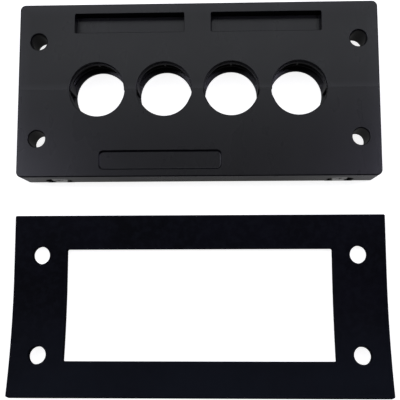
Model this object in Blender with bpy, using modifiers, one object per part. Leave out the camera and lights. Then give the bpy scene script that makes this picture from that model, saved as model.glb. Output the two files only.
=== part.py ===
"""Split cable entry plate for a cabinet wall, face up, with its flat gasket lying in front of it.

Two moulded halves meet along the middle of four round cells, each of which takes one cable grommet.
Two screws from the near side pull the halves together. The plate's back rests at height 0 with its face up,
and the box round plate and gasket is centred on the origin in X and Y. Lengths are in metres.
"""

import math

import bmesh
import bpy

MM = 0.001

# Fits
PARTING_GAP = 0.1 * MM  # between the two halves
FIT_GAP = 0.25 * MM  # round a screw, an insert or a pin
SEAT_GAP = 0.3 * MM  # under a screw head

# Cable cells, radii counted inwards from the wall of the chamber
CELLS = 4
CHAMBER_RADIUS = 9.9 * MM
CELL_WALL = 1.8 * MM  # between neighbouring chambers
RIM_STEP = 0.85 * MM  # front rim
LEDGE_STEP = 1.15 * MM  # front lip below the rim
BACK_STEP = 1.15 * MM  # back lip
RIM_DEPTH = 1.2 * MM
LIP_THICKNESS = 0.8 * MM
LIP_DRAFT = 0.25 * MM  # slope under a lip
BACK_LIP_THICKNESS = 1.2 * MM
BACK_CHAMFER = 0.65 * MM
CELL_CHAMFER = 0.25 * MM
RIDGES = 2
RIDGE_HEIGHT = 0.5 * MM
RIDGE_WIDTH = 0.8 * MM

# Rib that stops a grommet from turning, in the upper half of each cell
NIB_WIDTH = 0.8 * MM
NIB_HEIGHT = 0.8 * MM
NIB_LENGTH = 3.5 * MM
ROOT = 0.3 * MM  # how far an added rib or pin reaches into its wall

# Lead-in at both sides of each cell, at the parting face of the lower half
LEAD_STEP = 0.4 * MM
LEAD_STRAIGHT = 1.2 * MM
LEAD_LENGTH = 3.8 * MM

# Webs that close the chamber of the upper half beside the parting face
WEB_HEIGHT = 3.4 * MM
WEB_SETBACK = 0.05 * MM  # behind the ledge

# Plate
PLATE_THICKNESS = 12.0 * MM
CORNER_RADIUS = 1.8 * MM
FRONT_EDGE_RADIUS = 0.5 * MM
SCREW_WALL = 3.7 * MM  # from the last chamber to the axis of a joining screw
MOUNT_OFFSET = 5.5 * MM  # from that axis to the mounting holes
END_MARGIN = 6.35 * MM  # from the mounting holes to the plate's ends
MOUNT_SPACING = 32.0 * MM  # between the two rows of mounting holes
SIDE_MARGIN = 12.4 * MM  # from a row to the plate's long side

# Mounting holes
MOUNT_RADIUS = 2.7 * MM
MOUNT_CHAMFER = 0.35 * MM
MOUNT_BACK_STEP = 0.65 * MM
MOUNT_BACK_DEPTH = 2.2 * MM

# Label recesses of the upper half
LABEL_WIDTH = 6.7 * MM
LABEL_DEPTH = 3.7 * MM
LABEL_EDGE = 2.9 * MM  # from the plate's long side
LABEL_SPACING = 8.7 * MM  # between the two
LABEL_END = 6.15 * MM  # from the axis of a joining screw
LABEL_CORNER = 0.4 * MM
MOUTH_CHAMFER = 0.15 * MM  # of the label recesses and the name field

# Shallow name field of the lower half
NAME_LENGTH = 38.9 * MM
NAME_WIDTH = 6.0 * MM
NAME_DEPTH = 0.9 * MM
NAME_EDGE = 2.4 * MM
NAME_SHIFT = 12.0 * MM  # to the left of the middle
NAME_CORNER = 1.4 * MM

# Coring of the back
CORE_CELL_WALL = 2.2 * MM
CORE_SIDE_WALL = 3.0 * MM
CORE_RIB = 4.5 * MM
CORE_WEB = 1.8 * MM  # left under a label recess or the name field
CORE_CORNER = 1.0 * MM

# Joining screws, with the thread inserts that they turn into
SHANK_RADIUS = 1.5 * MM
SHANK_TIP = 0.5 * MM
HEAD_RADIUS = 2.75 * MM
HEAD_HEIGHT = 1.9 * MM
HEAD_FLAT_RADIUS = 1.95 * MM
HEAD_STEPS = 3
DRIVE_REACH = 1.45 * MM
DRIVE_WIDTH = 0.7 * MM
DRIVE_DEPTH = 1.2 * MM
DRIVE_TAPER = 0.55  # width and reach at the bottom of the cross, as a part of those at its top
POCKET_CLEARANCE = 1.5 * MM  # round a head
POCKET_DEPTH = 2.4 * MM
INSERT_RADIUS = 2.3 * MM
INSERT_LENGTH = 5.5 * MM
INSERT_GROOVE_DEPTH = 0.25 * MM
INSERT_GROOVE_WIDTH = 0.9 * MM
INSERT_SETBACK = 0.5 * MM  # from the parting face
ENGAGEMENT = 3.5 * MM
INSERT_BACK_WALL = 0.65 * MM
DRILL_DEPTH = 2.7 * MM  # beyond the insert

# Locating pins of the lower half
PIN_RADIUS = 1.5 * MM
PIN_LENGTH = 2.5 * MM
PIN_CHAMFER = 0.4 * MM
PIN_DEPTH = 4.8 * MM  # of the axis below the front

# Gasket
GASKET_THICKNESS = 3.0 * MM
GASKET_END = 8.75 * MM  # from its holes to its ends
WINDOW_END = 8.3 * MM  # from its holes to its window
WINDOW_SIDE = 1.9 * MM  # of the window past the rows of holes
GASKET_BAND = 11.1 * MM
GASKET_CORNER = 0.5 * MM
GASKET_HOLE_RADIUS = 2.85 * MM
GASKET_DISTANCE = 11.45 * MM  # between plate and gasket
FLAT_WIDTH = 19.0 * MM  # of the gasket, from its far edge to where it curls up
CURL_RADIUS = 132.0 * MM
CURL_SLICES = 13

# Facets
CELL_STEPS = 48
ROUND_STEPS = 24
CORNER_STEPS = 4

# Working values
OVERSHOOT = 0.5 * MM  # of a cutter past the face that it opens
MERGE = 0.00001
TINY = 0.000001
SMOOTH_ANGLE = math.radians(32)

# Sizes that follow
CELL_PITCH = 2 * CHAMBER_RADIUS + CELL_WALL
CELL_X = [(index - (CELLS - 1) / 2) * CELL_PITCH for index in range(CELLS)]
RIM_RADIUS = CHAMBER_RADIUS - RIM_STEP
LEDGE_RADIUS = CHAMBER_RADIUS - LEDGE_STEP
BACK_RADIUS = CHAMBER_RADIUS - BACK_STEP
LEDGE_Z = PLATE_THICKNESS - RIM_DEPTH
CHAMBER_TOP = LEDGE_Z - LIP_THICKNESS
CHAMBER_FLOOR = BACK_CHAMFER + BACK_LIP_THICKNESS
SCREW_X = CELL_X[-1] + CHAMBER_RADIUS + SCREW_WALL
MOUNT_X = SCREW_X + MOUNT_OFFSET
MOUNT_Y = MOUNT_SPACING / 2
HALF_LENGTH = MOUNT_X + END_MARGIN
HALF_WIDTH = MOUNT_Y + SIDE_MARGIN
LABEL_FLOOR = PLATE_THICKNESS - LABEL_DEPTH
NAME_FLOOR = PLATE_THICKNESS - NAME_DEPTH
INSERT_HOLE_RADIUS = INSERT_RADIUS + FIT_GAP
SCREW_Z = INSERT_HOLE_RADIUS + INSERT_BACK_WALL
SEAT_Y = POCKET_DEPTH - HALF_WIDTH
SHANK_LENGTH = INSERT_SETBACK + ENGAGEMENT - SEAT_Y + SEAT_GAP
PIN_Z = PLATE_THICKNESS - PIN_DEPTH
GASKET_HALF_LENGTH = MOUNT_X + GASKET_END
WINDOW_HALF_LENGTH = MOUNT_X - WINDOW_END
WINDOW_HALF_WIDTH = MOUNT_Y + WINDOW_SIDE
GASKET_HALF_WIDTH = WINDOW_HALF_WIDTH + GASKET_BAND
CURL_START = GASKET_HALF_WIDTH - FLAT_WIDTH
CURL_ANGLE = (CURL_START + GASKET_HALF_WIDTH) / CURL_RADIUS
GASKET_NEAR_EDGE = CURL_START - (CURL_RADIUS + GASKET_THICKNESS / 2) * math.sin(CURL_ANGLE)
GASKET_OFFSET = HALF_WIDTH + GASKET_DISTANCE + GASKET_HALF_WIDTH
PLATE_Y = (GASKET_OFFSET - HALF_WIDTH - GASKET_NEAR_EDGE) / 2


def clear_scene():
    for obj in list(bpy.data.objects):
        bpy.data.objects.remove(obj)


def new_collection(name):
    collection = bpy.data.collections.new(name)
    bpy.context.scene.collection.children.link(collection)
    return collection


def new_material(name, colour, roughness, metallic=0.0):
    material = bpy.data.materials.new(name)
    material.use_nodes = True
    shader = material.node_tree.nodes["Principled BSDF"]
    shader.inputs["Base Color"].default_value = (*colour, 1.0)
    shader.inputs["Roughness"].default_value = roughness
    shader.inputs["Metallic"].default_value = metallic
    material.diffuse_color = (*colour, 1.0)
    return material


def new_origin(name, y):
    origin = bpy.data.objects.new(name, None)
    parts.objects.link(origin)
    origin.location = (0, y, 0)
    return origin


def add_piece(obj, material, origin):
    parts.objects.link(obj)
    obj.data.materials.append(material)
    obj.parent = origin
    return obj


def add_cutter(obj, location=(0, 0, 0), along_y=False):
    """Puts a tool shape in place on the plate. Along Y, its own Z axis points to the near side."""
    cutters.objects.link(obj)
    obj.parent = plate_origin
    obj.location = location
    if along_y:
        obj.rotation_euler = (math.pi / 2, 0, 0)
    obj.hide_render = True
    obj.display_type = "WIRE"
    return obj


def cut(target, tools, operation="DIFFERENCE"):
    for tool in tools:
        modifier = target.modifiers.new(tool.name, "BOOLEAN")
        modifier.operation = operation
        modifier.solver = "EXACT"
        modifier.object = tool


def settle(piece):
    """Makes the modifiers' result the piece's own mesh, with its round walls shaded smooth."""
    bpy.context.view_layer.update()
    graph = bpy.context.evaluated_depsgraph_get()
    mesh = bpy.data.meshes.new_from_object(piece.evaluated_get(graph))
    mesh.name = piece.name
    piece.modifiers.clear()
    piece.data = mesh
    mesh.shade_smooth()
    mesh.set_sharp_from_angle(angle=SMOOTH_ANGLE)


def turned(name, profile, steps, ring=False):
    """Turns a profile of (radius, height) points about Z. A ring's profile closes on itself."""
    count = len(profile)
    edges = [(index, (index + 1) % count) for index in range(count if ring else count - 1)]
    mesh = bpy.data.meshes.new(name)
    mesh.from_pydata([(radius, 0, height) for radius, height in profile], edges, [])
    obj = bpy.data.objects.new(name, mesh)
    screw = obj.modifiers.new("Turn", "SCREW")
    screw.axis = "Z"
    screw.steps = steps
    screw.render_steps = steps
    screw.use_merge_vertices = True
    screw.merge_threshold = MERGE
    return obj


def mesh_object(name, bm):
    mesh = bpy.data.meshes.new(name)
    bm.to_mesh(mesh)
    bm.free()
    return bpy.data.objects.new(name, mesh)


def box_bmesh(low, high):
    bm = bmesh.new()
    bmesh.ops.create_cube(bm, size=1)
    size = [top - bottom for bottom, top in zip(low, high)]
    middle = [(top + bottom) / 2 for bottom, top in zip(low, high)]
    bmesh.ops.scale(bm, vec=size, verts=bm.verts)
    bmesh.ops.translate(bm, vec=middle, verts=bm.verts)
    return bm


def round_edges(bm, edges, radius, steps):
    bmesh.ops.bevel(
        bm, geom=edges, offset=radius, offset_type="OFFSET", segments=steps, profile=0.5, affect="EDGES"
    )


def upright_edges(bm):
    return [edge for edge in bm.edges if (edge.verts[0].co - edge.verts[1].co).xy.length < TINY]


def box_tool(name, low, high, corner):
    """A box with rounded upright edges."""
    bm = box_bmesh(low, high)
    round_edges(bm, upright_edges(bm), corner, CORNER_STEPS)
    return mesh_object(name, bm)


def recess_tool(name, low, high, corner):
    """A rounded box below the front face, flared above its mouth into a small chamfer."""
    bm = box_bmesh(low, (high[0], high[1], PLATE_THICKNESS - MOUTH_CHAMFER))
    round_edges(bm, upright_edges(bm), corner, CORNER_STEPS)
    mouth = max(bm.faces, key=lambda face: face.calc_center_median().z)
    middle = mouth.calc_center_bounds()
    flare = MOUTH_CHAMFER + OVERSHOOT
    top = bmesh.ops.extrude_discrete_faces(bm, faces=[mouth])["faces"][0]
    for vert in top.verts:
        vert.co.x += math.copysign(flare, vert.co.x - middle.x)
        vert.co.y += math.copysign(flare, vert.co.y - middle.y)
        vert.co.z += flare
    return mesh_object(name, bm)


def flat_shape(name, rings, thickness):
    """A sheet bounded by closed rings of (x, y) points, the first outside and the rest holes."""
    curve = bpy.data.curves.new(name, "CURVE")
    curve.dimensions = "2D"
    curve.fill_mode = "BOTH"
    curve.extrude = thickness / 2
    for ring in rings:
        spline = curve.splines.new("POLY")
        spline.points.add(len(ring) - 1)
        for point, (x, y) in zip(spline.points, ring):
            point.co = (x, y, 0, 1)
        spline.use_cyclic_u = True
    outline = bpy.data.objects.new(name, curve)
    cutters.objects.link(outline)
    bpy.context.view_layer.update()
    graph = bpy.context.evaluated_depsgraph_get()
    mesh = bpy.data.meshes.new_from_object(outline.evaluated_get(graph))
    bpy.data.objects.remove(outline)
    bm = bmesh.new()
    bm.from_mesh(mesh)
    bmesh.ops.remove_doubles(bm, verts=bm.verts, dist=MERGE)
    bmesh.ops.recalc_face_normals(bm, faces=bm.faces)
    bm.to_mesh(mesh)
    bm.free()
    return bpy.data.objects.new(name, mesh)


def arc(centre_x, centre_y, radius, start, end, steps):
    """Points along an arc, from the start angle to the end angle."""
    turn = (end - start) / steps
    return [
        (centre_x + radius * math.cos(start + turn * index), centre_y + radius * math.sin(start + turn * index))
        for index in range(steps + 1)
    ]


def circle(centre_x, centre_y, radius):
    return arc(centre_x, centre_y, radius, 0, 2 * math.pi, ROUND_STEPS)[:-1]


def rounded_rectangle(half_length, half_width, radius):
    points = []
    for quarter, (side_x, side_y) in enumerate(((1, 1), (-1, 1), (-1, -1), (1, -1))):
        start = quarter * math.pi / 2
        centre_x = side_x * (half_length - radius)
        centre_y = side_y * (half_width - radius)
        points += arc(centre_x, centre_y, radius, start, start + math.pi / 2, CORNER_STEPS)
    return points


def plate_half(name, side):
    """The outer block of one half, on the far side of the parting line for 1 and on the near side for -1."""
    parting = side * PARTING_GAP / 2
    outer = side * HALF_WIDTH
    low_y, high_y = sorted((parting, outer))
    bm = box_bmesh((-HALF_LENGTH, low_y, 0), (HALF_LENGTH, high_y, PLATE_THICKNESS))
    corners = [edge for edge in upright_edges(bm) if abs(edge.verts[0].co.y - outer) < TINY]
    round_edges(bm, corners, CORNER_RADIUS, CORNER_STEPS)
    front = [edge for edge in bm.edges if all(vert.co.z > PLATE_THICKNESS - TINY for vert in edge.verts)]
    rim = [edge for edge in front if any(abs(vert.co.y - parting) > TINY for vert in edge.verts)]
    round_edges(bm, rim, FRONT_EDGE_RADIUS, CORNER_STEPS)
    return add_piece(mesh_object(name, bm), polyamide, plate_origin)


def cell_profile():
    """Rim, ledge and lip at the front, the ridged chamber, and the lip and chamfer at the back."""
    points = [
        (0, PLATE_THICKNESS + OVERSHOOT),
        (RIM_RADIUS + CELL_CHAMFER + OVERSHOOT, PLATE_THICKNESS + OVERSHOOT),
        (RIM_RADIUS, PLATE_THICKNESS - CELL_CHAMFER),
        (RIM_RADIUS, LEDGE_Z),
        (LEDGE_RADIUS, LEDGE_Z),
        (LEDGE_RADIUS, CHAMBER_TOP),
        (CHAMBER_RADIUS, CHAMBER_TOP - LIP_DRAFT),
    ]
    pitch = (CHAMBER_TOP - CHAMBER_FLOOR) / (RIDGES + 1)
    for index in range(RIDGES):
        middle = CHAMBER_TOP - pitch * (index + 1)
        crest = CHAMBER_RADIUS - RIDGE_HEIGHT
        points += [
            (CHAMBER_RADIUS, middle + RIDGE_WIDTH / 2),
            (crest, middle + RIDGE_WIDTH / 4),
            (crest, middle - RIDGE_WIDTH / 4),
            (CHAMBER_RADIUS, middle - RIDGE_WIDTH / 2),
        ]
    points += [
        (CHAMBER_RADIUS, CHAMBER_FLOOR + LIP_DRAFT),
        (BACK_RADIUS, CHAMBER_FLOOR),
        (BACK_RADIUS, BACK_CHAMFER),
        (BACK_RADIUS + BACK_CHAMFER + OVERSHOOT, -OVERSHOOT),
        (0, -OVERSHOOT),
    ]
    return points


def nib_tool(x, index):
    """The rib at the top of a cell, rooted in the chamber's wall and in the lip above it."""
    crest = CHAMBER_RADIUS - NIB_HEIGHT
    low = (x - NIB_WIDTH / 2, crest, CHAMBER_TOP - NIB_LENGTH)
    high = (x + NIB_WIDTH / 2, CHAMBER_RADIUS + ROOT, CHAMBER_TOP + ROOT)
    return mesh_object(f"nib_{index}", box_bmesh(low, high))


def web_tool(x, index, side):
    """A flat web in the chamber, just behind the ledge, from the parting face up."""
    near = LEDGE_RADIUS + WEB_SETBACK
    ends = sorted((x + side * near, x + side * (CHAMBER_RADIUS + ROOT)))
    low = (ends[0], PARTING_GAP / 2, CHAMBER_FLOOR - ROOT)
    high = (ends[1], WEB_HEIGHT, CHAMBER_TOP + ROOT)
    return mesh_object(f"web_{side:+d}_{index}", box_bmesh(low, high))


def lead_in_tool(index):
    """Opens the front lip at both sides of a cell at the parting face, and runs out into its circle further down."""
    wide = LEDGE_RADIUS + LEAD_STEP
    narrow = math.sqrt(LEDGE_RADIUS**2 - LEAD_LENGTH**2)
    outline = [
        (-wide, OVERSHOOT),
        (-wide, -LEAD_STRAIGHT),
        (-narrow, -LEAD_LENGTH),
        (narrow, -LEAD_LENGTH),
        (wide, -LEAD_STRAIGHT),
        (wide, OVERSHOOT),
    ]
    return flat_shape(f"lead_in_{index}", [outline], LIP_THICKNESS + LIP_DRAFT + RIM_DEPTH)


def mount_profile():
    back_slope = MOUNT_BACK_STEP / MOUNT_BACK_DEPTH
    return [
        (0, PLATE_THICKNESS + OVERSHOOT),
        (MOUNT_RADIUS + MOUNT_CHAMFER + OVERSHOOT, PLATE_THICKNESS + OVERSHOOT),
        (MOUNT_RADIUS, PLATE_THICKNESS - MOUNT_CHAMFER),
        (MOUNT_RADIUS, MOUNT_BACK_DEPTH),
        (MOUNT_RADIUS + MOUNT_BACK_STEP + back_slope * OVERSHOOT, -OVERSHOOT),
        (0, -OVERSHOOT),
    ]


def label_tool(side):
    ends = sorted((side * LABEL_SPACING / 2, side * (SCREW_X - LABEL_END)))
    far = HALF_WIDTH - LABEL_EDGE
    low = (ends[0], far - LABEL_WIDTH, LABEL_FLOOR)
    high = (ends[1], far, PLATE_THICKNESS)
    return recess_tool(f"label_recess_{side:+d}", low, high, LABEL_CORNER)


def name_tool():
    near = NAME_EDGE - HALF_WIDTH
    low = (-NAME_SHIFT - NAME_LENGTH / 2, near, NAME_FLOOR)
    high = (-NAME_SHIFT + NAME_LENGTH / 2, near + NAME_WIDTH, PLATE_THICKNESS)
    return recess_tool("name_field", low, high, NAME_CORNER)


def core_tool(x, index, side, floor):
    """A pocket in the back behind one cell's wall, up to the web under the recess above it."""
    half = (CELL_PITCH - CORE_RIB) / 2
    near, far = sorted((side * (CHAMBER_RADIUS + CORE_CELL_WALL), side * (HALF_WIDTH - CORE_SIDE_WALL)))
    low = (x - half, near, -OVERSHOOT)
    high = (x + half, far, floor - CORE_WEB)
    return box_tool(f"core_{side:+d}_{index}", low, high, CORE_CORNER)


def screw_hole_profile():
    """Counterbore for a screw head, wide enough to leave a slot in the back, then the shank's clearance hole."""
    pocket = HEAD_RADIUS + POCKET_CLEARANCE
    shank = SHANK_RADIUS + FIT_GAP
    mouth = HALF_WIDTH + OVERSHOOT
    return [(0, mouth), (pocket, mouth), (pocket, -SEAT_Y), (shank, -SEAT_Y), (shank, -OVERSHOOT), (0, -OVERSHOOT)]


def insert_hole_profile():
    """Bore for the insert, then the narrower clearance hole beyond it with its drilled point."""
    insert_end = -(INSERT_SETBACK + INSERT_LENGTH + FIT_GAP)
    radius = SHANK_RADIUS + FIT_GAP
    return [
        (0, OVERSHOOT),
        (INSERT_HOLE_RADIUS, OVERSHOOT),
        (INSERT_HOLE_RADIUS, insert_end),
        (radius, insert_end),
        (radius, insert_end - DRILL_DEPTH),
        (0, insert_end - DRILL_DEPTH - radius / 2),
    ]


def insert_profile():
    """A sleeve with one groove round its middle, its open end at height 0."""
    bore = SHANK_RADIUS + FIT_GAP
    groove = INSERT_RADIUS - INSERT_GROOVE_DEPTH
    middle = -INSERT_LENGTH / 2
    half = INSERT_GROOVE_WIDTH / 2
    return [
        (INSERT_RADIUS, 0),
        (INSERT_RADIUS, middle + half),
        (groove, middle + half),
        (groove, middle - half),
        (INSERT_RADIUS, middle - half),
        (INSERT_RADIUS, -INSERT_LENGTH),
        (bore, -INSERT_LENGTH),
        (bore, 0),
    ]


def screw_profile():
    """A pan head above height 0, rounded from its flat top to its side, and the shank below."""
    rise = HEAD_HEIGHT / 2
    points = [(0, HEAD_HEIGHT)]
    for step in range(HEAD_STEPS + 1):
        angle = math.pi / 2 * step / HEAD_STEPS
        radius = HEAD_FLAT_RADIUS + (HEAD_RADIUS - HEAD_FLAT_RADIUS) * math.sin(angle)
        points.append((radius, HEAD_HEIGHT - rise * (1 - math.cos(angle))))
    points += [
        (HEAD_RADIUS, 0),
        (SHANK_RADIUS, 0),
        (SHANK_RADIUS, SHANK_TIP - SHANK_LENGTH),
        (SHANK_RADIUS - SHANK_TIP, -SHANK_LENGTH),
        (0, -SHANK_LENGTH),
    ]
    return points


def pin_profile(radius, tip, root, chamfer):
    return [(0, root), (radius, root), (radius, chamfer - tip), (radius - chamfer, -tip), (0, -tip)]


def drive_bar(name, long_x):
    """One bar of the cross recess, narrowing towards its bottom."""
    reach, half = DRIVE_REACH, DRIVE_WIDTH / 2
    half_x, half_y = (reach, half) if long_x else (half, reach)
    bm = box_bmesh((-half_x, -half_y, -DRIVE_DEPTH), (half_x, half_y, OVERSHOOT))
    for vert in bm.verts:
        if vert.co.z < 0:
            vert.co.xy *= DRIVE_TAPER
    return mesh_object(name, bm)


def joining_screw(name, x):
    screw = add_piece(turned(name, screw_profile(), ROUND_STEPS), steel, plate_origin)
    screw.location = (x, SEAT_Y - SEAT_GAP, SCREW_Z)
    screw.rotation_euler = (math.pi / 2, 0, 0)
    face = (x, SEAT_Y - SEAT_GAP - HEAD_HEIGHT, SCREW_Z)
    cut(screw, [add_cutter(drive_bar(f"{name}_bar_{long_x:d}", long_x), face, True) for long_x in (True, False)])
    settle(screw)


def thread_insert(name, x):
    insert = add_piece(turned(name, insert_profile(), ROUND_STEPS, ring=True), brass, plate_origin)
    insert.location = (x, INSERT_SETBACK, SCREW_Z)
    insert.rotation_euler = (math.pi / 2, 0, 0)
    settle(insert)


def curl(bm):
    """Bends the sheet up about an axis along X, keeping the length of its middle layer."""
    middle = GASKET_THICKNESS / 2
    for index in range(CURL_SLICES):
        y = CURL_START - (CURL_START + GASKET_HALF_WIDTH) * index / CURL_SLICES
        everything = [*bm.verts, *bm.edges, *bm.faces]
        bmesh.ops.bisect_plane(bm, geom=everything, dist=TINY, plane_co=(0, y, 0), plane_no=(0, 1, 0))
    for vert in bm.verts:
        height = vert.co.z + middle
        if vert.co.y >= CURL_START:
            vert.co.z = height
            continue
        angle = (CURL_START - vert.co.y) / CURL_RADIUS
        radius = CURL_RADIUS - (height - middle)
        vert.co.y = CURL_START - radius * math.sin(angle)
        vert.co.z = middle + CURL_RADIUS - radius * math.cos(angle)


def gasket():
    rings = [
        rounded_rectangle(GASKET_HALF_LENGTH, GASKET_HALF_WIDTH, GASKET_CORNER),
        rounded_rectangle(WINDOW_HALF_LENGTH, WINDOW_HALF_WIDTH, GASKET_CORNER),
    ]
    rings += [circle(x, y, GASKET_HOLE_RADIUS) for x in (-MOUNT_X, MOUNT_X) for y in (-MOUNT_Y, MOUNT_Y)]
    sheet = add_piece(flat_shape("flat_gasket", rings, GASKET_THICKNESS), rubber, gasket_origin)
    bm = bmesh.new()
    bm.from_mesh(sheet.data)
    curl(bm)
    bm.to_mesh(sheet.data)
    bm.free()
    settle(sheet)


clear_scene()
parts = new_collection("cable entry plate")
cutters = new_collection("cutters")
plate_origin = new_origin("plate_origin", PLATE_Y)
gasket_origin = new_origin("gasket_origin", PLATE_Y - GASKET_OFFSET)
polyamide = new_material("black polyamide", (0.021, 0.021, 0.022), 0.55)
rubber = new_material("black rubber", (0.006, 0.0065, 0.0085), 0.75)
steel = new_material("zinc plated steel", (0.55, 0.55, 0.54), 0.3, 1.0)
brass = new_material("brass", (0.72, 0.53, 0.26), 0.35, 1.0)

upper = plate_half("upper_frame_half", 1)
lower = plate_half("lower_frame_half", -1)

# Both halves
cell_shape = cell_profile()
cells = [
    add_cutter(turned(f"cell_{index}", cell_shape, CELL_STEPS), (x, 0, 0)) for index, x in enumerate(CELL_X)
]
for half, side in ((upper, 1), (lower, -1)):
    cut(half, cells)
    for x in (-MOUNT_X, MOUNT_X):
        hole = turned(f"mounting_hole_{side:+d}", mount_profile(), ROUND_STEPS)
        cut(half, [add_cutter(hole, (x, side * MOUNT_Y, 0))])
    floor = LABEL_FLOOR if side > 0 else NAME_FLOOR
    cut(half, [add_cutter(core_tool(x, index, side, floor)) for index, x in enumerate(CELL_X)])

# Upper half
cut(upper, [add_cutter(label_tool(side)) for side in (-1, 1)])
cut(upper, [add_cutter(nib_tool(x, index)) for index, x in enumerate(CELL_X)], "UNION")
for side in (-1, 1):
    cut(upper, [add_cutter(web_tool(x, index, side)) for index, x in enumerate(CELL_X)], "UNION")
socket_shape = pin_profile(PIN_RADIUS + FIT_GAP, PIN_LENGTH + FIT_GAP, OVERSHOOT, PIN_CHAMFER)
for side in (-1, 1):
    bore = turned(f"insert_hole_{side:+d}", insert_hole_profile(), ROUND_STEPS)
    socket = turned(f"pin_socket_{side:+d}", socket_shape, ROUND_STEPS)
    cut(upper, [add_cutter(bore, (side * SCREW_X, 0, SCREW_Z), True)])
    cut(upper, [add_cutter(socket, (side * MOUNT_X, 0, PIN_Z), True)])

# Lower half
cut(lower, [add_cutter(name_tool())])
lead_in_z = LEDGE_Z - (LIP_THICKNESS + LIP_DRAFT) / 2
cut(lower, [add_cutter(lead_in_tool(index), (x, 0, lead_in_z)) for index, x in enumerate(CELL_X)])
pin_shape = pin_profile(PIN_RADIUS, PIN_LENGTH, PARTING_GAP / 2 + ROOT, PIN_CHAMFER)
for side in (-1, 1):
    hole = turned(f"screw_hole_{side:+d}", screw_hole_profile(), ROUND_STEPS)
    pin = turned(f"locating_pin_{side:+d}", pin_shape, ROUND_STEPS)
    cut(lower, [add_cutter(hole, (side * SCREW_X, 0, SCREW_Z), True)])
    cut(lower, [add_cutter(pin, (side * MOUNT_X, 0, PIN_Z), True)], "UNION")

settle(upper)
settle(lower)

for side, x in (("left", -SCREW_X), ("right", SCREW_X)):
    joining_screw(f"joining_screw_{side}", x)
    thread_insert(f"thread_insert_{side}", x)

gasket()
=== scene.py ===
import math

import bmesh
import bpy
from mathutils import Matrix, Vector


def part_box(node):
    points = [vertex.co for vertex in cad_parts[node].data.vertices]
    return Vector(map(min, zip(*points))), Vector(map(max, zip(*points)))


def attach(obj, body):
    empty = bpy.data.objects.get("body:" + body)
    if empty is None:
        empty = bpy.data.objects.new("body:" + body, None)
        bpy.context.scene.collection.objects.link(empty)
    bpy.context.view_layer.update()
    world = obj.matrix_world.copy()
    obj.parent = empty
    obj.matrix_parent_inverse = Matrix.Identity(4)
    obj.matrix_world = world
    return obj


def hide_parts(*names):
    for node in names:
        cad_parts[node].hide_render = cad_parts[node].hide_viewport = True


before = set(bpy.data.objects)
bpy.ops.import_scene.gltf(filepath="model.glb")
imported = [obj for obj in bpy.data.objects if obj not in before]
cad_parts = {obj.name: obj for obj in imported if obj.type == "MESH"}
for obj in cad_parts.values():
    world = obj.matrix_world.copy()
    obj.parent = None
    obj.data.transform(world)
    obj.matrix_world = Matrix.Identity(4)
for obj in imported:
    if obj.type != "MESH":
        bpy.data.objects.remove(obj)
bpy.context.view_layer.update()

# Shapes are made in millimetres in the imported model's frame, and scaled to metres once they are whole.
MM = 0.001

# Plate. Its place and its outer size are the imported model's.
PLATE_TOP = 12.0
HALF_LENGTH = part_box("upper_frame_half")[1].x / MM
PLATE_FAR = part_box("upper_frame_half")[1].y / MM
PLATE_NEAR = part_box("lower_frame_half")[0].y / MM
PLATE_Y = (PLATE_FAR + PLATE_NEAR) / 2
HALF_WIDTH = (PLATE_FAR - PLATE_NEAR) / 2
PARTING_GAP = 0.015
CORNER_RADIUS = 1.8
FRONT_EDGE_RADIUS = 0.4
BACK_EDGE_RADIUS = 0.25

# Cells
CELLS = 4
CELL_PITCH = 21.6
CHAMBER_RADIUS = 9.9
RIM_RADIUS = 8.9
RIM_MOUTH_RADIUS = 0.2
LIP_RADIUS = 8.55
LEDGE_Z = 10.8
CHAMBER_TOP = 10.0
CHAMBER_FLOOR = 1.85
BACK_CHAMFER = 0.65
LIP_DRAFT = 0.25
RIDGES = 2
RIDGE_HEIGHT = 0.5
RIDGE_WIDTH = 0.8
LEAD_IN_DEPTH = 3.8
LEAD_IN_STRAIGHT = 1.2
LEAD_IN_GROWTH = 0.4
LEAD_IN_MARGIN = 0.6
NIB_WIDTH = 0.8
NIB_HEIGHT = 3.5
NIB_REACH = 0.8
WEB_DEPTH = 3.4
OVERLAP = 0.3

# Recesses of the front and cored pockets of the back
LABEL_DEPTH = 3.7
LABEL_WIDTH = 6.4
LABEL_INNER_END = 4.35
LABEL_TO_SCREW = 6.15
LABEL_TO_FAR_EDGE = 3.2
NAME_DEPTH = 0.9
NAME_LENGTH = 38.9
NAME_WIDTH = 6.0
NAME_X = -12
NAME_TO_NEAR_EDGE = 2.4
CORE_LENGTH = CELL_PITCH - 4.5
CORE_SKIN = 1.8
CORE_TO_CHAMBER = 2.2
CORE_TO_EDGE = 3.0

# Holes
MOUNT_X = 51.5
MOUNT_Y = 16.0
MOUNT_RADIUS = 2.7
MOUNT_MOUTH_RADIUS = 0.35
MOUNT_BACK_DEPTH = 2.2
MOUNT_BACK_GROWTH = 0.8
SCREW_X = 46.0
SCREW_Z = 3.2
POCKET_DEPTH = 2.4
POCKET_RADIUS = 4.25
SHANK_HOLE_RADIUS = 1.75
INSERT_HOLE_RADIUS = 2.55
INSERT_HOLE_END = 6.25
TIP_HOLE_START = 6.0
TIP_HOLE_END = 9.0
PAST_FACE = 0.5

# Joining screws
SEAT_GAP = 0.3
HEAD_RADIUS = 2.75
HEAD_HEIGHT = 1.9
SHANK_RADIUS = 1.5
SCREW_LENGTH = 25.35
THREAD_START = 1.0
THREAD_POINT = 0.6
THREAD_PITCH = 0.7
THREAD_DEPTH = 0.3
ROWS_PER_TURN = 6
CROSS_REACH = 1.45
CROSS_HALF_WIDTH = 0.35
CROSS_DEPTH = 1.2
CROSS_TAPER = 0.55

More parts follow.
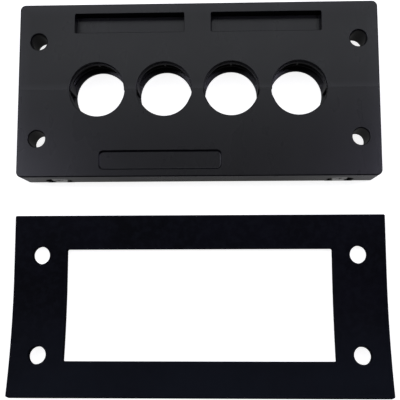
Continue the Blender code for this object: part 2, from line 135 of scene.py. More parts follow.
# Gasket
GASKET_THICKNESS = 3.0
GASKET_END = 8.75
GASKET_BAND = 11.1
GASKET_DISTANCE = 11.45
WINDOW_END = 8.3
WINDOW_SIDE = 1.9
FLAT_WIDTH = 19.0
GASKET_HALF_LENGTH = MOUNT_X + GASKET_END
WINDOW_HALF_LENGTH = MOUNT_X - WINDOW_END
WINDOW_HALF_WIDTH = MOUNT_Y + WINDOW_SIDE
GASKET_HALF_WIDTH = WINDOW_HALF_WIDTH + GASKET_BAND
GASKET_Y = PLATE_Y - (HALF_WIDTH + GASKET_DISTANCE + GASKET_HALF_WIDTH)
GASKET_CORNER_RADIUS = 0.5
GASKET_HOLE_RADIUS = 2.85
GASKET_HOLE_STEPS = 72
CURL_START = GASKET_HALF_WIDTH - FLAT_WIDTH
CURL_RADIUS = 132.0
CURL_SLICE = 1.2
CURL_SLICES = 48
CROSS_SLICE = 2.5
CROSS_SLICES = 49
EDGE_SOFTNESS = 0.18


# Shapes
def link(obj):
    bpy.context.scene.collection.objects.link(obj)
    return obj


def mesh_object(name, bm):
    mesh = bpy.data.meshes.new(name)
    bmesh.ops.recalc_face_normals(bm, faces=bm.faces)
    bm.to_mesh(mesh)
    bm.free()
    return link(bpy.data.objects.new(name, mesh))


def fillet(corners, steps=4, closed=False):
    """Points of an outline whose corners are (x, y, radius), with an arc at each corner that has a radius."""
    points = []
    for index, (x, y, radius) in enumerate(corners):
        here = Vector((x, y))
        if not radius or (not closed and index in (0, len(corners) - 1)):
            points.append(here)
            continue
        back = (Vector(corners[index - 1][:2]) - here).normalized()
        ahead = (Vector(corners[(index + 1) % len(corners)][:2]) - here).normalized()
        half = back.angle(ahead) / 2
        centre = here + (back + ahead).normalized() * (radius / math.sin(half))
        start = here + back * (radius / math.tan(half)) - centre
        end = here + ahead * (radius / math.tan(half)) - centre
        turn = -start.angle_signed(end)
        points += [centre + Matrix.Rotation(turn * step / steps, 2) @ start for step in range(steps + 1)]
    return points


def mouth(x, top, radius, steps=4, up=1):
    """Points of a rounded mouth, from the wall at x out to the face at height top and beyond it."""
    lift = 0.03 * radius
    beyond = 0.6
    points = []
    for step in range(steps + 1):
        angle = math.pi / 2 * step / steps
        away = radius * (1 - math.cos(angle))
        rise = radius * math.sin(angle) - radius + lift
        points.append(Vector((x + away, top + up * rise)))
    points.append(Vector((x + radius + beyond, top + up * (lift + beyond))))
    return points


def ring(bm, radii, height):
    """A ring of vertices with a radius for each step, or one vertex where it shrinks to the axis."""
    if radii[0] < 1e-6:
        return [bm.verts.new((0, 0, height))]
    made = []
    for step, radius in enumerate(radii):
        angle = 2 * math.pi * step / len(radii)
        made.append(bm.verts.new((radius * math.cos(angle), radius * math.sin(angle), height)))
    return made


def skin(bm, rings, steps):
    """Faces from each ring to the next. A ring has as many vertices as there are steps, or only one."""
    for low, high in zip(rings, rings[1:]):
        for step in range(steps):
            after = (step + 1) % steps
            corners = [low[step % len(low)], low[after % len(low)], high[after % len(high)], high[step % len(high)]]
            unique = list(dict.fromkeys(corners))
            if len(unique) > 2:
                bm.faces.new(unique)


def lathe(name, profile, steps):
    """A solid turned about Z from (radius, height) points, the first and last of which are on the axis."""
    bm = bmesh.new()
    skin(bm, [ring(bm, [radius] * steps, height) for radius, height in profile], steps)
    return mesh_object(name, bm)


def bore(name, top, wall, steps):
    """The space of a round hole, from the points of its mouth and of its wall below the mouth."""
    return lathe(name, [Vector((0, top[-1].y)), *top[::-1], *fillet(wall)], steps)


def loft(name, sections):
    """A solid from closed outlines of the same count, each a list of 3-D points, with its two ends filled."""
    bm = bmesh.new()
    rings = [[bm.verts.new(point) for point in section] for section in sections]
    skin(bm, rings, len(rings[0]))
    bm.faces.new(rings[0][::-1])
    bm.faces.new(rings[-1])
    return mesh_object(name, bm)


def box(low, high):
    bm = bmesh.new()
    bmesh.ops.create_cube(bm, size=1)
    bmesh.ops.scale(bm, vec=[b - a for a, b in zip(low, high)], verts=bm.verts)
    bmesh.ops.translate(bm, vec=[(a + b) / 2 for a, b in zip(low, high)], verts=bm.verts)
    return bm


def round_edges(bm, edges, radius, steps):
    bmesh.ops.bevel(
        bm, geom=edges, offset=radius, offset_type="OFFSET", segments=steps, profile=0.5, affect="EDGES"
    )


def soft_box(name, low, high, radius, steps=3):
    """A box with all its edges rounded."""
    bm = box(low, high)
    round_edges(bm, bm.edges[:], radius, steps)
    return mesh_object(name, bm)


def rectangle(low, high, corner, grow, steps=6):
    """A rounded rectangle from low to high, let out by grow on all sides."""
    corners = [
        (low[0] - grow, low[1] - grow, corner + grow),
        (high[0] + grow, low[1] - grow, corner + grow),
        (high[0] + grow, high[1] + grow, corner + grow),
        (low[0] - grow, high[1] + grow, corner + grow),
    ]
    return fillet(corners, steps, closed=True)


def recess(name, low, high, corner, floor, face, floor_radius, mouth_radius):
    """The space of a rounded recess between the heights of its floor and of the face that it opens."""
    up = 1 if face > floor else -1
    levels = []
    for step in range(4):
        angle = math.pi / 2 * step / 3
        levels.append((-floor_radius * (1 - math.sin(angle)), floor + up * floor_radius * (1 - math.cos(angle))))
    levels += [tuple(point) for point in mouth(0, face, mouth_radius, up=up)]
    sections = []
    for grow, height in levels:
        sections.append([(x, y, height) for x, y in rectangle(low, high, corner, grow)])
    return loft(name, sections)


def cut(target, tools, operation="DIFFERENCE"):
    for tool in tools:
        modifier = target.modifiers.new(tool.name, "BOOLEAN")
        modifier.operation = operation
        modifier.solver = "EXACT"
        modifier.object = tool


def evaluated_mesh(obj):
    """The object's mesh with its modifiers or its curve worked out."""
    bpy.context.view_layer.update()
    graph = bpy.context.evaluated_depsgraph_get()
    return bpy.data.meshes.new_from_object(obj.evaluated_get(graph))


def settle(obj, angle=32):
    """Applies the modifiers, shades the result smooth up to an angle and scales it to metres."""
    tools = [modifier.object for modifier in obj.modifiers if modifier.type == "BOOLEAN"]
    mesh = evaluated_mesh(obj)
    obj.modifiers.clear()
    obj.data = mesh
    for tool in tools:
        bpy.data.objects.remove(tool)
    mesh.transform(obj.matrix_basis)
    obj.matrix_basis = Matrix.Identity(4)
    mesh.transform(Matrix.Scale(MM, 4))
    mesh.shade_smooth()
    mesh.set_sharp_from_angle(angle=math.radians(angle))
    modifier = obj.modifiers.new("Even shading", "WEIGHTED_NORMAL")
    modifier.keep_sharp = True
    modifier.weight = 100
    return obj


def place(obj, location=(0, 0, 0), along_y=False):
    """Puts a shape at a place on the plate. Along Y, its own Z axis points to the near side."""
    obj.location = (location[0], location[1] + PLATE_Y, location[2])
    if along_y:
        obj.rotation_euler = (math.pi / 2, 0, 0)
    return obj


# Plate
def plate_block(name, side):
    """One half of the frame as a rounded block, the upper one for side 1 and the lower one for side -1."""
    parting = side * PARTING_GAP / 2
    outer = side * HALF_WIDTH
    near, far = sorted((parting, outer))
    bm = box((-HALF_LENGTH, near, 0), (HALF_LENGTH, far, PLATE_TOP))
    upright = [edge for edge in bm.edges if (edge.verts[0].co - edge.verts[1].co).xy.length < 1e-4]
    corners = [edge for edge in upright if abs(edge.verts[0].co.y - outer) < 1e-4]
    round_edges(bm, corners, CORNER_RADIUS, 10)
    for height, radius, steps in ((PLATE_TOP, FRONT_EDGE_RADIUS, 6), (0, BACK_EDGE_RADIUS, 4)):
        level = [edge for edge in bm.edges if all(abs(vert.co.z - height) < 1e-4 for vert in edge.verts)]
        rim = [edge for edge in level if any(abs(vert.co.y - parting) > 1e-4 for vert in edge.verts)]
        round_edges(bm, rim, radius, steps)
    return place(mesh_object(name, bm))


def cell(name, x):
    """The space of a cell: rim, ledge, lip, drafted chamber with ridges, back lip and chamfer."""
    pitch = (CHAMBER_TOP - CHAMBER_FLOOR) / (RIDGES + 1)
    crest = CHAMBER_RADIUS - RIDGE_HEIGHT
    wall = [
        (RIM_RADIUS, PLATE_TOP - 0.4, 0),
        (RIM_RADIUS, LEDGE_Z, 0.08),
        (LIP_RADIUS, LEDGE_Z, 0.12),
        (LIP_RADIUS, CHAMBER_TOP, 0.1),
        (CHAMBER_RADIUS, CHAMBER_TOP - LIP_DRAFT, 0.2),
    ]
    for index in range(RIDGES):
        middle = CHAMBER_TOP - pitch * (index + 1)
        wall += [
            (CHAMBER_RADIUS, middle + RIDGE_WIDTH / 2, 0.12),
            (crest, middle + RIDGE_WIDTH / 4, 0.12),
            (crest, middle - RIDGE_WIDTH / 4, 0.12),
            (CHAMBER_RADIUS, middle - RIDGE_WIDTH / 2, 0.12),
        ]
    wall += [
        (CHAMBER_RADIUS, CHAMBER_FLOOR + LIP_DRAFT, 0.2),
        (LIP_RADIUS, CHAMBER_FLOOR, 0.1),
        (LIP_RADIUS, BACK_CHAMFER, 0.2),
        (LIP_RADIUS + BACK_CHAMFER + PAST_FACE, -PAST_FACE, 0),
        (0, -PAST_FACE, 0),
    ]
    return place(bore(name, mouth(RIM_RADIUS, PLATE_TOP, RIM_MOUTH_RADIUS), wall, 128), (x, 0, 0))


def lead_in(name, x):
    """The space that widens a cell of the lower half beside the parting face."""
    wide = LIP_RADIUS + LEAD_IN_GROWTH
    narrow = math.sqrt(LIP_RADIUS**2 - LEAD_IN_DEPTH**2)
    corners = [
        (-wide, PAST_FACE, 0),
        (-wide, -LEAD_IN_STRAIGHT, 0.3),
        (-narrow, -LEAD_IN_DEPTH, 0),
        (narrow, -LEAD_IN_DEPTH, 0),
        (wide, -LEAD_IN_STRAIGHT, 0.3),
        (wide, PAST_FACE, 0),
    ]
    heights = (CHAMBER_TOP - LIP_DRAFT - LEAD_IN_MARGIN, PLATE_TOP - LEAD_IN_MARGIN)
    sections = [[(px, py, height) for px, py in fillet(corners)] for height in heights]
    return place(loft(name, sections), (x, 0, 0))


def mounting_hole(x, y):
    wall = [
        (MOUNT_RADIUS, PLATE_TOP - 1, 0),
        (MOUNT_RADIUS, MOUNT_BACK_DEPTH, 0.4),
        (MOUNT_RADIUS + MOUNT_BACK_GROWTH, -PAST_FACE, 0),
        (0, -PAST_FACE, 0),
    ]
    top = mouth(MOUNT_RADIUS, PLATE_TOP, MOUNT_MOUTH_RADIUS)
    return place(bore("mounting_hole", top, wall, 64), (x, y, 0))


def screw_pocket(x):
    """The round counterbore for a screw head, with a rounded mouth to the near side. It breaks through the back."""
    seat = HALF_WIDTH - POCKET_DEPTH
    wall = [(POCKET_RADIUS, seat + 1, 0), (POCKET_RADIUS, seat, 0.2), (0, seat, 0)]
    return place(bore("screw_pocket", mouth(POCKET_RADIUS, HALF_WIDTH, 0.2), wall, 96), (x, 0, SCREW_Z), True)


def along_y_hole(name, x, start, end, radius):
    """The space of a round hole along Y, from start to end."""
    length = end - start
    return place(lathe(name, [(0, 0), (radius, 0), (radius, length), (0, length)], 32), (x, end, SCREW_Z), True)


cell_x = [(index - (CELLS - 1) / 2) * CELL_PITCH for index in range(CELLS)]
upper = plate_block("upper_half", 1)
lower = plate_block("lower_half", -1)
for half, side, depth in ((upper, 1, LABEL_DEPTH), (lower, -1, NAME_DEPTH)):
    cut(half, [cell(f"cell_{index}", x) for index, x in enumerate(cell_x)])
    cut(half, [mounting_hole(x, side * MOUNT_Y) for x in (-MOUNT_X, MOUNT_X)])
    near, far = sorted((side * (CHAMBER_RADIUS + CORE_TO_CHAMBER), side * (HALF_WIDTH - CORE_TO_EDGE)))
    for x in cell_x:
        low, high = (x - CORE_LENGTH / 2, near), (x + CORE_LENGTH / 2, far)
        cut(half, [place(recess("core", low, high, 1.0, PLATE_TOP - depth - CORE_SKIN, 0, 0.5, 0.15))])

# Upper half
far = HALF_WIDTH - LABEL_TO_FAR_EDGE
for side in (-1, 1):
    ends = sorted((side * LABEL_INNER_END, side * (SCREW_X - LABEL_TO_SCREW)))
    low, high = (ends[0], far - LABEL_WIDTH), (ends[1], far)
    cut(upper, [place(recess("label", low, high, 0.35, PLATE_TOP - LABEL_DEPTH, PLATE_TOP, 0.25, 0.18))])
for x in cell_x:
    low = (x - NIB_WIDTH / 2, CHAMBER_RADIUS - NIB_REACH, CHAMBER_TOP - NIB_HEIGHT)
    high = (x + NIB_WIDTH / 2, CHAMBER_RADIUS + OVERLAP, CHAMBER_TOP + OVERLAP)
    cut(upper, [place(soft_box("nib", low, high, 0.12))], "UNION")
    for side in (-1, 1):
        ends = sorted((x + side * (LIP_RADIUS + 0.05), x + side * (CHAMBER_RADIUS + OVERLAP)))
        low = (ends[0], PARTING_GAP / 2, CHAMBER_FLOOR - OVERLAP)
        high = (ends[1], WEB_DEPTH, CHAMBER_TOP + OVERLAP)
        cut(upper, [place(soft_box("web", low, high, 0.1))], "UNION")
for x in (-SCREW_X, SCREW_X):
    cut(upper, [along_y_hole("insert_hole", x, -PAST_FACE, INSERT_HOLE_END, INSERT_HOLE_RADIUS)])
    cut(upper, [along_y_hole("tip_hole", x, TIP_HOLE_START, TIP_HOLE_END, SHANK_HOLE_RADIUS)])

# Lower half
near = NAME_TO_NEAR_EDGE - HALF_WIDTH
low, high = (NAME_X - NAME_LENGTH / 2, near), (NAME_X + NAME_LENGTH / 2, near + NAME_WIDTH)
cut(lower, [place(recess("name_field", low, high, 1.4, PLATE_TOP - NAME_DEPTH, PLATE_TOP, 0.5, 0.2))])
cut(lower, [lead_in(f"lead_in_{index}", x) for index, x in enumerate(cell_x)])
for x in (-SCREW_X, SCREW_X):
    cut(lower, [screw_pocket(x)])
    cut(lower, [along_y_hole("shank_hole", x, POCKET_DEPTH - HALF_WIDTH - PAST_FACE, PAST_FACE, SHANK_HOLE_RADIUS)])

settle(upper)
settle(lower)


# Joining screws
def screw(name, x):
    """A pan head screw with a thread and a cross recess, its head to the near side."""
    steps = 32
    bm = bmesh.new()
    head = [(0, HEAD_HEIGHT, 0), (HEAD_RADIUS, HEAD_HEIGHT, 0.85), (HEAD_RADIUS, 0.0, 0.15), (1.6, 0.0, 0)]
    rings = [ring(bm, [radius] * steps, height) for radius, height in (*fillet(head, 6), (SHANK_RADIUS, -0.05))]
    z = -THREAD_START
    while z > -SCREW_LENGTH + THREAD_POINT:
        turns = [(z / THREAD_PITCH + step / steps) % 1 for step in range(steps)]
        rings.append(ring(bm, [SHANK_RADIUS - THREAD_DEPTH * abs(2 * turn - 1) for turn in turns], z))
        z -= THREAD_PITCH / ROWS_PER_TURN
    rings += [ring(bm, [radius] * steps, -SCREW_LENGTH) for radius in (1.0, 0)]
    skin(bm, rings, steps)
    seat = POCKET_DEPTH - HALF_WIDTH - SEAT_GAP
    made = place(mesh_object(name, bm), (x, seat, SCREW_Z), True)
    for half_x, half_y in ((CROSS_REACH, CROSS_HALF_WIDTH), (CROSS_HALF_WIDTH, CROSS_REACH)):
        bar = box((-half_x, -half_y, -CROSS_DEPTH), (half_x, half_y, PAST_FACE))
        for vert in bar.verts:
            if vert.co.z < 0:
                vert.co.xy *= CROSS_TAPER
        round_edges(bar, bar.edges[:], 0.06, 2)
        cut(made, [place(mesh_object("bar", bar), (x, seat - HEAD_HEIGHT, SCREW_Z), True)])
    return settle(made)


screws = [screw("screw_left", -SCREW_X), screw("screw_right", SCREW_X)]


# Gasket
def gasket_sheet():
    """The flat sheet with its window and its holes, and with rounded edges."""
    rings = []
    for half_x, half_y in ((GASKET_HALF_LENGTH, GASKET_HALF_WIDTH), (WINDOW_HALF_LENGTH, WINDOW_HALF_WIDTH)):
        rings.append(rectangle((-half_x, -half_y), (half_x, half_y), GASKET_CORNER_RADIUS, 0, 5))
    turns = [2 * math.pi * step / GASKET_HOLE_STEPS for step in range(GASKET_HOLE_STEPS)]
    for x in (-MOUNT_X, MOUNT_X):
        for y in (-MOUNT_Y, MOUNT_Y):
            rings.append(
                [(x + GASKET_HOLE_RADIUS * math.cos(turn), y + GASKET_HOLE_RADIUS * math.sin(turn)) for turn in turns]
            )
    curve = bpy.data.curves.new("gasket", "CURVE")
    curve.dimensions = "2D"
    curve.fill_mode = "BOTH"
    curve.bevel_depth = EDGE_SOFTNESS
    curve.bevel_resolution = 2
    curve.offset = -EDGE_SOFTNESS
    curve.extrude = GASKET_THICKNESS / 2 - EDGE_SOFTNESS
    for points in rings:
        spline = curve.splines.new("POLY")
        spline.points.add(len(points) - 1)
        for point, (x, y) in zip(spline.points, points):
            point.co = (x, y, 0, 1)
        spline.use_cyclic_u = True
    outline = link(bpy.data.objects.new("gasket_outline", curve))
    mesh = evaluated_mesh(outline)
    bpy.data.objects.remove(outline)
    return mesh


def gasket():
    """The sheet, cut into strips and bent up along an arc on its near side."""
    bm = bmesh.new()
    bm.from_mesh(gasket_sheet())
    bmesh.ops.remove_doubles(bm, verts=bm.verts, dist=0.005)
    along_y, along_x = Vector((0, 1, 0)), Vector((1, 0, 0))
    first_x = -CROSS_SLICE * (CROSS_SLICES - 1) / 2
    slices = [(Vector((0, CURL_START - CURL_SLICE * index, 0)), along_y) for index in range(CURL_SLICES)]
    slices += [(Vector((first_x + CROSS_SLICE * index, 0, 0)), along_x) for index in range(CROSS_SLICES)]
    for point, normal in slices:
        bmesh.ops.bisect_plane(bm, geom=[*bm.verts, *bm.edges, *bm.faces], dist=1e-4, plane_co=point, plane_no=normal)
    middle = GASKET_THICKNESS / 2
    for vert in bm.verts:
        height = vert.co.z + middle
        if vert.co.y >= CURL_START:
            vert.co.z = height
            continue
        angle = (CURL_START - vert.co.y) / CURL_RADIUS
        radius = CURL_RADIUS - (height - middle)
        vert.co.y = CURL_START - radius * math.sin(angle)
        vert.co.z = middle + CURL_RADIUS - radius * math.cos(angle)
    made = mesh_object("gasket", bm)
    made.location = (0, GASKET_Y, 0)
    return settle(made, 40)


sheet = gasket()


# Materials
def rgb(r, g, b):
    return (r, g, b, 1.0)


class Tree:
    """A node tree, with short calls for its nodes."""

    def __init__(self, tree):
        self.tree = tree

    def node(self, kind, inputs=None, **settings):
        made = self.tree.nodes.new(kind)
        for key, value in settings.items():
            setattr(made, key, value)
        for key, value in (inputs or {}).items():
            if isinstance(value, bpy.types.NodeSocket):
                self.tree.links.new(value, made.inputs[key])
            else:
                made.inputs[key].default_value = value
        return made

    def math(self, operation, one, two=0.0, three=0.0):
        return self.node("ShaderNodeMath", {0: one, 1: two, 2: three}, operation=operation).outputs[0]

    def spread(self, value, low, high, to_low=0.0, to_high=1.0):
        """Takes the values from low to high to others, and holds those outside."""
        inputs = {"Value": value, "From Min": low, "From Max": high, "To Min": to_low, "To Max": to_high}
        return self.node("ShaderNodeMapRange", inputs).outputs[0]

    def mix(self, factor, one, two):
        inputs = {0: factor, 6: one, 7: two}
        return self.node("ShaderNodeMix", inputs, data_type="RGBA").outputs[2]

    def parts(self, vector):
        """The X, Y and Z of a vector."""
        return self.node("ShaderNodeSeparateXYZ", {0: vector}).outputs


class Look(Tree):
    """A material, with short calls for patterns that hold to the object's own coordinates."""

    def __init__(self, name, colour, roughness, metallic=0.0):
        self.material = bpy.data.materials.new(name)
        self.material.use_nodes = True
        super().__init__(self.material.node_tree)
        self.shader = self.tree.nodes["Principled BSDF"]
        self.shader.inputs["Base Color"].default_value = (*colour, 1)
        self.shader.inputs["Roughness"].default_value = roughness
        self.shader.inputs["Metallic"].default_value = metallic
        self.place = self.node("ShaderNodeTexCoord").outputs["Object"]

    def noise(self, scale, detail=2.0, roughness=0.5, stretch=None):
        place = self.place
        if stretch:
            place = self.node("ShaderNodeMapping", {"Vector": place, "Scale": stretch}).outputs[0]
        inputs = {"Vector": place, "Scale": scale, "Detail": detail, "Roughness": roughness}
        return self.node("ShaderNodeTexNoise", inputs).outputs["Fac"]

    def bump(self, height, distance, strength):
        inputs = {"Height": height, "Distance": distance, "Strength": strength}
        return self.node("ShaderNodeBump", inputs).outputs[0]

    def edges(self, radius, low, high):
        """1 along the outer and inner edges, 0 elsewhere."""
        rounded = self.node("ShaderNodeBevel", {"Radius": radius}, samples=6).outputs[0]
        flat = self.node("ShaderNodeNewGeometry").outputs["Normal"]
        same = self.node("ShaderNodeVectorMath", {0: rounded, 1: flat}, operation="DOT_PRODUCT").outputs["Value"]
        return self.spread(same, high, low)

    def hollow(self, distance, low, high):
        """1 on steep walls deep in a recess or a hole, 0 on open faces."""
        inputs = {"Distance": distance}
        open_sky = self.node("ShaderNodeAmbientOcclusion", inputs, samples=8, only_local=True).outputs["AO"]
        upward = self.parts(self.node("ShaderNodeNewGeometry").outputs["Normal"])["Z"]
        steep = self.spread(self.math("ABSOLUTE", upward), 0.75, 0.35)
        return self.math("MULTIPLY", steep, self.spread(open_sky, high, low))

    def drive(self, colour, roughness, normal):
        for name, value in (("Base Color", colour), ("Roughness", roughness), ("Normal", normal)):
            self.tree.links.new(value, self.shader.inputs[name])


def polyamide():
    """Black moulding, paler above the parting line and along the far edge and the ends, where highlights and light
    are painted, and darker in its hollows, where shade is painted.
    """
    look = Look("moulded_polyamide", (0.015, 0.015, 0.0165), 0.5)
    patches = look.noise(45, 3, 0.55)
    grain = look.noise(2600, 2, 0.6)
    fine = look.noise(9000, 1, 0.5)
    wear = look.edges(0.00035, 0.80, 0.99)
    shade = look.mix(look.spread(patches, 0.35, 0.65), rgb(0.0050, 0.0050, 0.0060), rgb(0.0066, 0.0066, 0.0079))
    shade = look.mix(look.spread(grain, 0.3, 0.7, 0, 0.35), shade, rgb(0.0090, 0.0090, 0.0105))
    shade = look.mix(look.math("MULTIPLY", wear, 0.2), shade, rgb(0.016, 0.016, 0.018))
    at = look.parts(look.place)
    above = look.math("GREATER_THAN", at["Y"], PLATE_Y * MM)
    # Painted highlight: a pale band just above the parting line on the upper half, fading out over 2.2 mm
    painted_parting_highlight = look.math("MULTIPLY", look.spread(at["Y"], PLATE_Y * MM, (PLATE_Y + 2.2) * MM, 1, 0), above)
    shade = look.mix(look.math("MULTIPLY", painted_parting_highlight, 0.7), shade, rgb(0.022, 0.022, 0.023))
    # Painted light: paler within 4.2 mm of the ends and of the far edge
    to_end = look.math("SUBTRACT", HALF_LENGTH * MM, look.math("ABSOLUTE", at["X"]))
    to_far_edge = look.math("SUBTRACT", PLATE_FAR * MM, at["Y"])
    painted_edge_light = look.spread(look.math("MINIMUM", to_end, to_far_edge), 0.0, 0.0042, 0.42, 0.0)
    shade = look.mix(painted_edge_light, shade, rgb(0.030, 0.030, 0.033))
    # Painted shade: a darker, bluish colour on steep walls deep in recesses and holes
    deep = look.hollow(0.012, 0.35, 0.7)
    shade = look.mix(deep, shade, rgb(0.0030, 0.0032, 0.0056))
    streaks = look.noise(110, 3, 0.55, (1.0, 0.45, 1.0))
    rough = look.spread(streaks, 0.3, 0.7, 0.265, 0.295)
    rough = look.math("ADD", rough, look.math("MULTIPLY", deep, -0.08))
    rough = look.math("SUBTRACT", rough, look.math("MULTIPLY", wear, 0.08))
    relief = look.math("ADD", look.math("MULTIPLY", grain, 0.7), look.math("MULTIPLY", fine, 0.3))
    look.drive(shade, rough, look.bump(relief, 0.00003, 0.3))
    look.shader.inputs["Specular IOR Level"].default_value = 0.2
    return look.material


def rubber():
    """Cellular rubber, paler along its edges, and with painted light, in patches, that makes it paler towards the
    curled side.
    """
    look = Look("cellular_rubber", (0.006, 0.0065, 0.0085), 0.8)
    cells = look.noise(3000, 3, 0.7)
    mottle = look.noise(520, 3, 0.65)
    patches = look.noise(60, 3, 0.6)
    # Painted light, in patches: paler towards the curled near side
    curled = look.spread(look.parts(look.place)["Y"], -0.034, -0.058)
    painted_curl_light = look.math("MULTIPLY", curled, look.spread(patches, 0.2, 0.6, 0.5, 1.0))
    shade = look.mix(look.spread(patches, 0.35, 0.65), rgb(0.0009, 0.0011, 0.0024), rgb(0.0019, 0.0020, 0.0046))
    shade = look.mix(painted_curl_light, shade, rgb(0.0044, 0.0060, 0.0098))
    shade = look.mix(look.spread(mottle, 0.45, 0.62, 0, 0.45), shade, rgb(0.0050, 0.0058, 0.0094))
    shade = look.mix(look.spread(cells, 0.62, 0.8, 0, 0.5), shade, rgb(0.006, 0.0065, 0.009))
    shade = look.mix(look.math("MULTIPLY", look.edges(0.0007, 0.75, 0.99), 0.5), shade, rgb(0.016, 0.016, 0.024))
    rough = look.spread(cells, 0.3, 0.7, 0.5, 0.64)
    look.drive(shade, rough, look.bump(cells, 0.00008, 0.4))
    look.shader.inputs["Specular IOR Level"].default_value = 0.04
    return look.material


def zinc():
    look = Look("zinc_plate", (0.58, 0.58, 0.57), 0.3, 1.0)
    cloud = look.noise(900, 3, 0.6)
    wear = look.edges(0.00015, 0.75, 0.98)
    shade = look.mix(look.spread(cloud, 0.3, 0.7), rgb(0.5, 0.5, 0.49), rgb(0.64, 0.64, 0.62))
    shade = look.mix(look.math("MULTIPLY", wear, 0.5), shade, rgb(0.75, 0.75, 0.74))
    rough = look.spread(cloud, 0.3, 0.7, 0.24, 0.38)
    look.drive(shade, rough, look.bump(look.noise(6000), 0.00001, 0.4))
    return look.material


def brass():
    look = Look("turned_brass", (0.72, 0.53, 0.26), 0.35, 1.0)
    cloud = look.noise(800, 3, 0.6)
    shade = look.mix(look.spread(cloud, 0.3, 0.7), rgb(0.62, 0.44, 0.2), rgb(0.76, 0.57, 0.29))
    rough = look.spread(cloud, 0.3, 0.7, 0.28, 0.42)
    look.drive(shade, rough, look.bump(look.noise(5000), 0.00001, 0.4))
    return look.material


def dress(obj, material):
    obj.data.materials.clear()
    obj.data.materials.append(material)


housing, seal, plated, turned = polyamide(), rubber(), zinc(), brass()
dressed = (
    (upper, housing, "housing", "upper_frame_half"),
    (lower, housing, "housing", "lower_frame_half"),
    (screws[0], plated, "screw", "joining_screw_left"),
    (screws[1], plated, "screw", "joining_screw_right"),
    (sheet, seal, "gasket", "flat_gasket"),
)
for piece, material, slot, node in dressed:
    dress(piece, material)
    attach(piece, "root")
    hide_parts(node)
for node in ("thread_insert_left", "thread_insert_right"):
    dress(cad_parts[node], turned)


# Stage
def white_floor():
    """White to the camera, but with a painted shadow in the slots of the screw pockets. Glossy surfaces see it
    dimmer, as a painted reflection that changes with place.
    """
    material = bpy.data.materials.new("white_floor")
    material.use_nodes = True
    material.node_tree.nodes.clear()
    look = Tree(material.node_tree)
    ray = look.node("ShaderNodeLightPath").outputs
    at = look.parts(look.node("ShaderNodeTexCoord").outputs["Object"])
    along = look.math("ABSOLUTE", at["X"])
    across = look.math("ABSOLUTE", look.math("SUBTRACT", at["Y"], PLATE_Y * MM))
    past_end = look.math("MAXIMUM", look.math("SUBTRACT", along, HALF_LENGTH * MM), 0.0)
    past_side = look.math("MAXIMUM", look.math("SUBTRACT", across, HALF_WIDTH * MM), 0.0)
    away = look.math("ADD", past_end, past_side)
    outside = look.math("GREATER_THAN", away, 0.0)

    # What glossy surfaces see, a painted reflection with painted shade: dim under the plate, brighter beside it and
    # at its ends, and very dim far from it
    towards_ends = look.spread(along, 0.025, 0.055, 0.16, 0.27)
    around = look.math("MULTIPLY", towards_ends, look.spread(away, 0.001, 0.012, 1.0, 0.03))
    mirrored = look.node("ShaderNodeMix", {0: outside, 2: 0.09, 3: around}, data_type="FLOAT").outputs[0]

    # What the camera sees: white, but with a painted shadow that makes it dark beside each screw head and grey below
    # it
    near_side = look.math("LESS_THAN", at["Y"], (PLATE_NEAR + 3.0) * MM)
    beside = look.math("ABSOLUTE", look.math("SUBTRACT", along, SCREW_X * MM))
    in_pocket = look.math("LESS_THAN", beside, 4.5 * MM)
    pocket = look.math("MULTIPLY", in_pocket, look.spread(beside, 0.0017, 0.0022, 0.8, 1.0))
    painted_pocket_shadow = look.math("MULTIPLY", look.math("MULTIPLY", near_side, pocket), look.math("SUBTRACT", 1.0, outside))
    shown = look.math("MULTIPLY", ray["Is Camera Ray"], look.math("SUBTRACT", 1.0, painted_pocket_shadow))

    seen = look.math("MULTIPLY_ADD", ray["Is Glossy Ray"], mirrored, shown)
    glow = look.node("ShaderNodeEmission", {"Color": rgb(1, 1, 1), "Strength": look.math("MULTIPLY", seen, 0.9)})
    paint = look.mix(ray["Is Camera Ray"], rgb(0.2, 0.2, 0.2), rgb(0.5, 0.5, 0.5))
    matt = look.node("ShaderNodeBsdfDiffuse", {"Color": paint})
    both = look.node("ShaderNodeAddShader", {0: glow.outputs[0], 1: matt.outputs[0]})
    look.node("ShaderNodeOutputMaterial", {"Surface": both.outputs[0]})
    return material


floor_mesh = bpy.data.meshes.new("floor")
floor_mesh.from_pydata([(-2, -2, 0), (2, -2, 0), (2, 2, 0), (-2, 2, 0)], [], [(0, 1, 2, 3)])
floor_mesh.materials.append(white_floor())
floor = link(bpy.data.objects.new("floor", floor_mesh))
floor.location.z = -0.0002

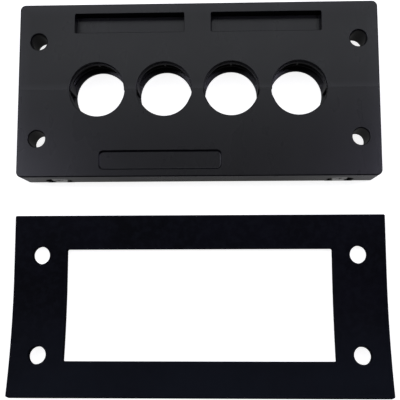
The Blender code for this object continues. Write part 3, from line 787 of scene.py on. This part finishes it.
# World: white to the camera, and a faint light that is a little stronger from overhead
world = bpy.data.worlds.new("studio")
bpy.context.scene.world = world
world.use_nodes = True
sky = Tree(world.node_tree)
upward = sky.parts(sky.node("ShaderNodeTexCoord").outputs["Generated"])["Z"]
overhead = sky.spread(upward, 0.55, 0.9, 0.01, 0.05)
level = sky.spread(sky.node("ShaderNodeLightPath").outputs["Is Camera Ray"], 0.0, 1.0, overhead, 1.0)
background = sky.tree.nodes["Background"]
background.inputs["Color"].default_value = rgb(1, 1, 1)
sky.tree.links.new(level, background.inputs["Strength"])


def softbox(name, location, size, power, colour):
    """A soft lamp that points to the middle of the object and that the camera doesn't see."""
    light = bpy.data.lights.new(name, "AREA")
    light.shape = "RECTANGLE"
    light.size, light.size_y = size
    light.energy = power
    light.color = colour
    lamp = link(bpy.data.objects.new(name, light))
    lamp.location = location
    lamp.rotation_euler = (Vector((0, 0.01, 0)) - Vector(location)).to_track_quat("-Z", "Y").to_euler()
    lamp.visible_camera = False


softbox("left_light", (-0.3830, 0.0905, 0.4564), (0.1, 0.5), 1.3, (0.84, 0.84, 1.0))
softbox("right_light", (0.3830, 0.0905, 0.4564), (0.1, 0.5), 1.2, (0.80, 0.77, 1.0))
softbox("back_light", (0.0, 0.2348, 0.5563), (0.6, 0.09), 0.53, (0.93, 0.97, 1.0))
softbox("low_back_light", (0.0, 0.3455, 0.4974), (0.6, 0.16), 0.54, (0.92, 0.93, 1.0))
softbox("top_light", (0.0, 0.0727, 0.5967), (0.25, 0.12), 0.07, (1.0, 1.0, 1.0))

# Camera, at the place and turn that fit the photograph
CAMERA_PLACE = (0.00706, -0.02452, 0.21881)
CAMERA_TURN = (("X", -0.1118), ("Y", -0.0310), ("Z", 0.002))
camera_data = bpy.data.cameras.new("camera")
camera_data.sensor_width = 36
camera_data.lens = 59.81
camera_data.clip_start = 0.01
camera = link(bpy.data.objects.new("camera", camera_data))
about_x, about_y, about_z = [Matrix.Rotation(angle, 3, axis) for axis, angle in CAMERA_TURN]
turn = about_x @ about_y @ about_z
camera.matrix_world = Matrix.Translation(CAMERA_PLACE) @ turn.transposed().to_4x4()
bpy.context.scene.camera = camera
bpy.context.scene.view_settings.view_transform = "Standard"
